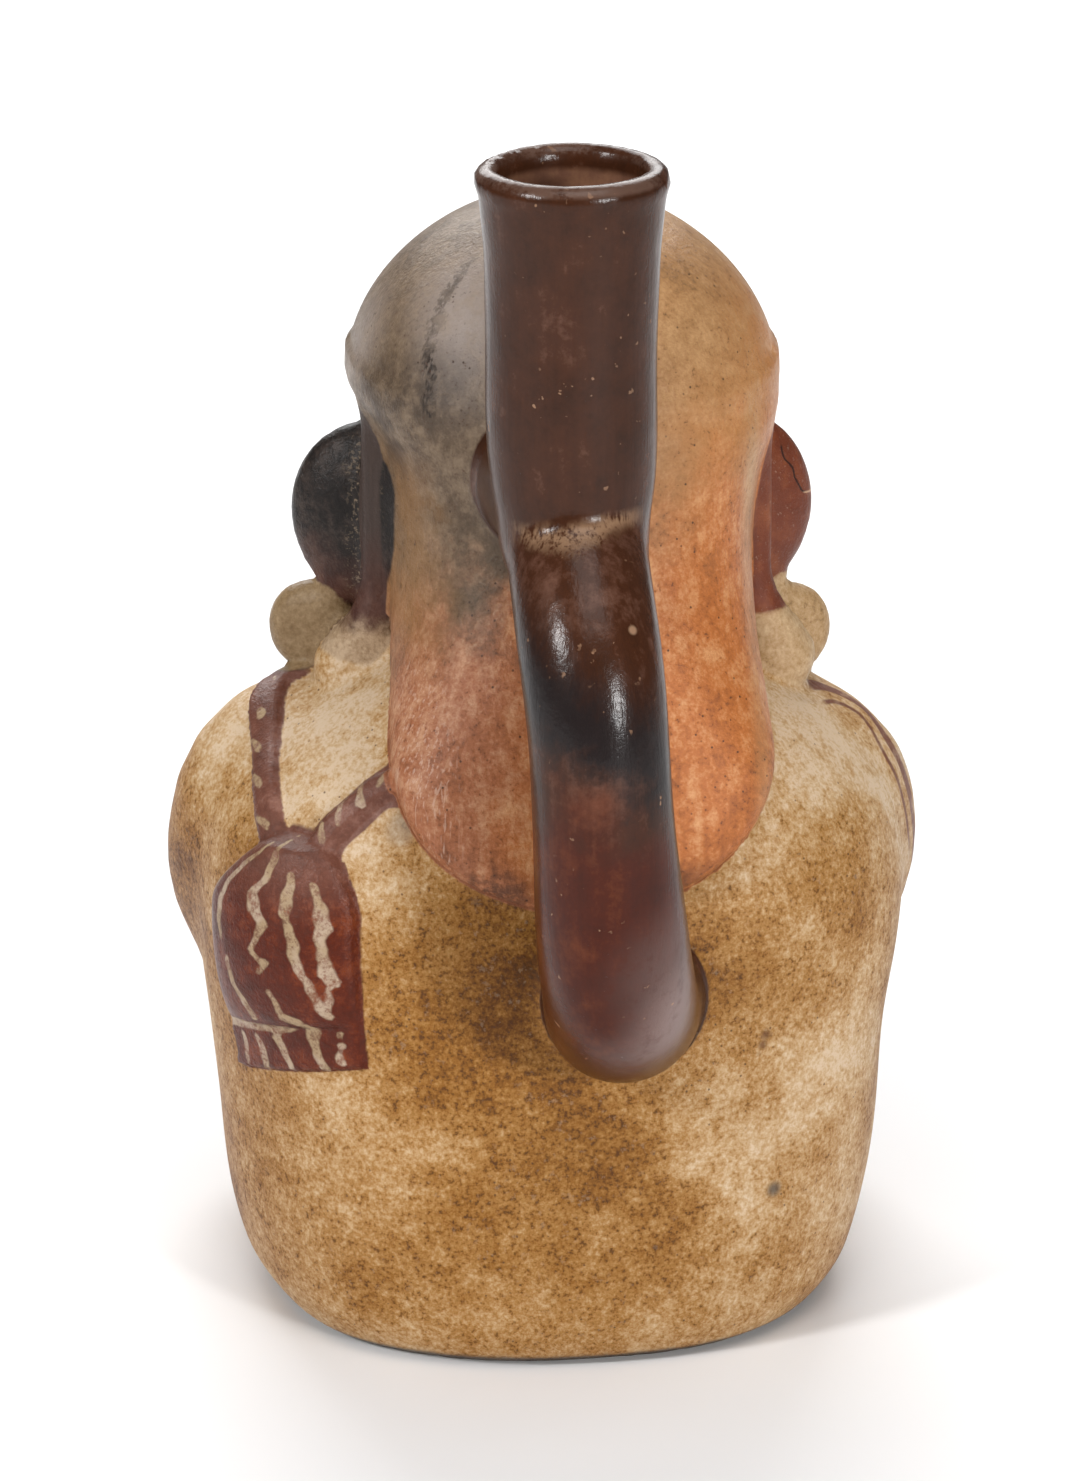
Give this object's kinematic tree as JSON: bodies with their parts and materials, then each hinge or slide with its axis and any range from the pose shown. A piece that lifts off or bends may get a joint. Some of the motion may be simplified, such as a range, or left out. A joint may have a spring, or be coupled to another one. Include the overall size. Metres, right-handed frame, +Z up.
{
  "type": "stirrup spout vessel",
  "caption": "Hollow fired clay bottle shaped as a seated figure in a long hood, with a stirrup tube and spout at its back for filling and pouring.",
  "frame": {"origin": "centre of the flat base", "axes": "+X to the seated figure's own left, +Y out of its back where the stirrup and spout are, +Z up from the base to the lip of the spout"},
  "size_m": [0.138, 0.1601, 0.23],
  "materials": {
    "burnished_clay": "satin"
  },
  "bodies": {
    "root": {"vessel": "burnished_clay"}
  },
  "joints": []
}
